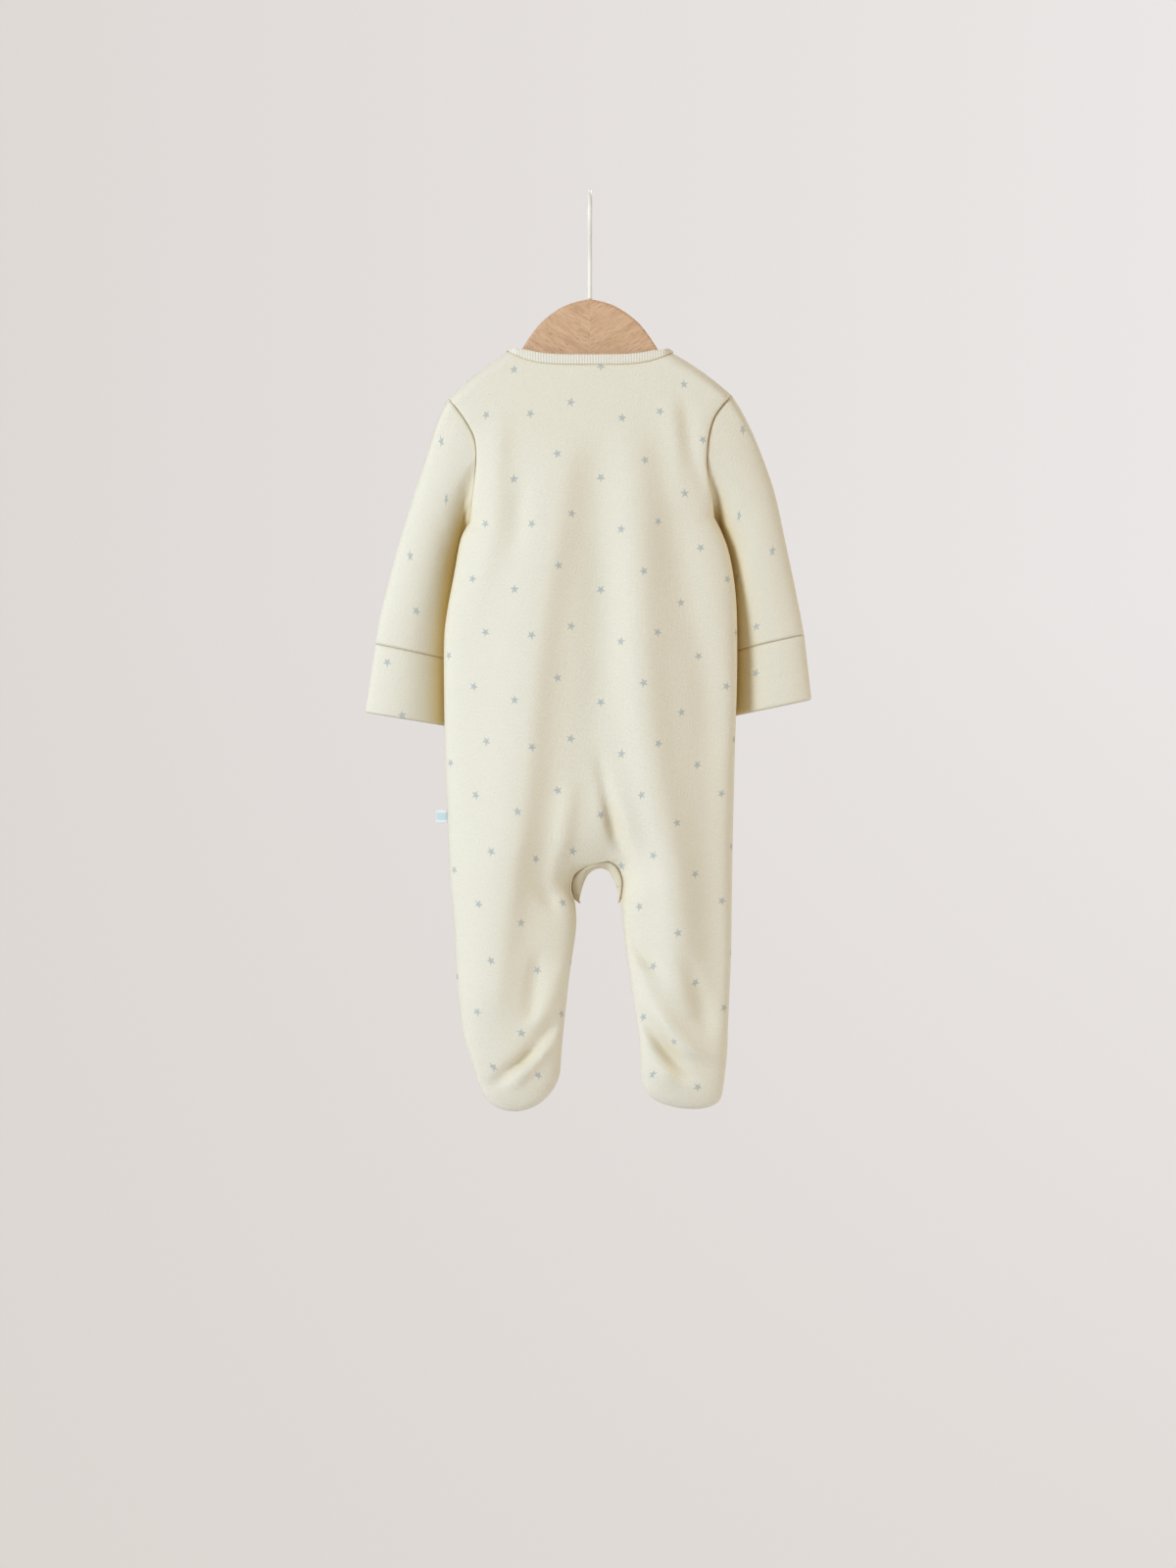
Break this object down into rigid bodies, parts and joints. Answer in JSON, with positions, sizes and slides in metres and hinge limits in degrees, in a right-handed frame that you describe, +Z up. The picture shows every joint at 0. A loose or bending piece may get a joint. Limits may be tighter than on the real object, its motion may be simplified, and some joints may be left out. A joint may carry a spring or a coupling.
{
  "type": "footed baby sleepsuit on a hanger",
  "caption": "Long-sleeved footed baby sleepsuit in star-print jersey, with front poppers and deep cuffs, hung on a small wooden hanger with a wire hook.",
  "frame": {"origin": "the point under the hook's crown that bears on what the hanger hangs from", "axes": "+Z up, X across the shoulders with the wearer's left at -X, the garment's back facing -Y and its poppers +Y"},
  "size_m": [0.3289, 0.0615, 0.6762],
  "materials": {
    "jersey": "soft matte knit with small stars",
    "rib": "fine one by one rib",
    "popper": "satin enamel cap",
    "tag": "plain woven ribbon",
    "beech": "sanded and lacquered beech",
    "painted_wire": "gloss white"
  },
  "bodies": {
    "root": {"back": "jersey", "front_left": "jersey", "front_right": "jersey", "foot_left": "jersey", "foot_right": "jersey", "gusset": "jersey", "sleeve_left": "jersey", "sleeve_right": "jersey", "cuff_left": "jersey", "cuff_right": "jersey", "neck_binding": "rib", "placket": "jersey", "popper_1": "popper", "popper_2": "popper", "popper_3": "popper", "popper_4": "popper", "popper_5": "popper", "popper_6": "popper", "side_tag": "tag", "hanger_left": "beech", "hanger_right": "beech", "hook": "painted_wire"}
  },
  "joints": []
}
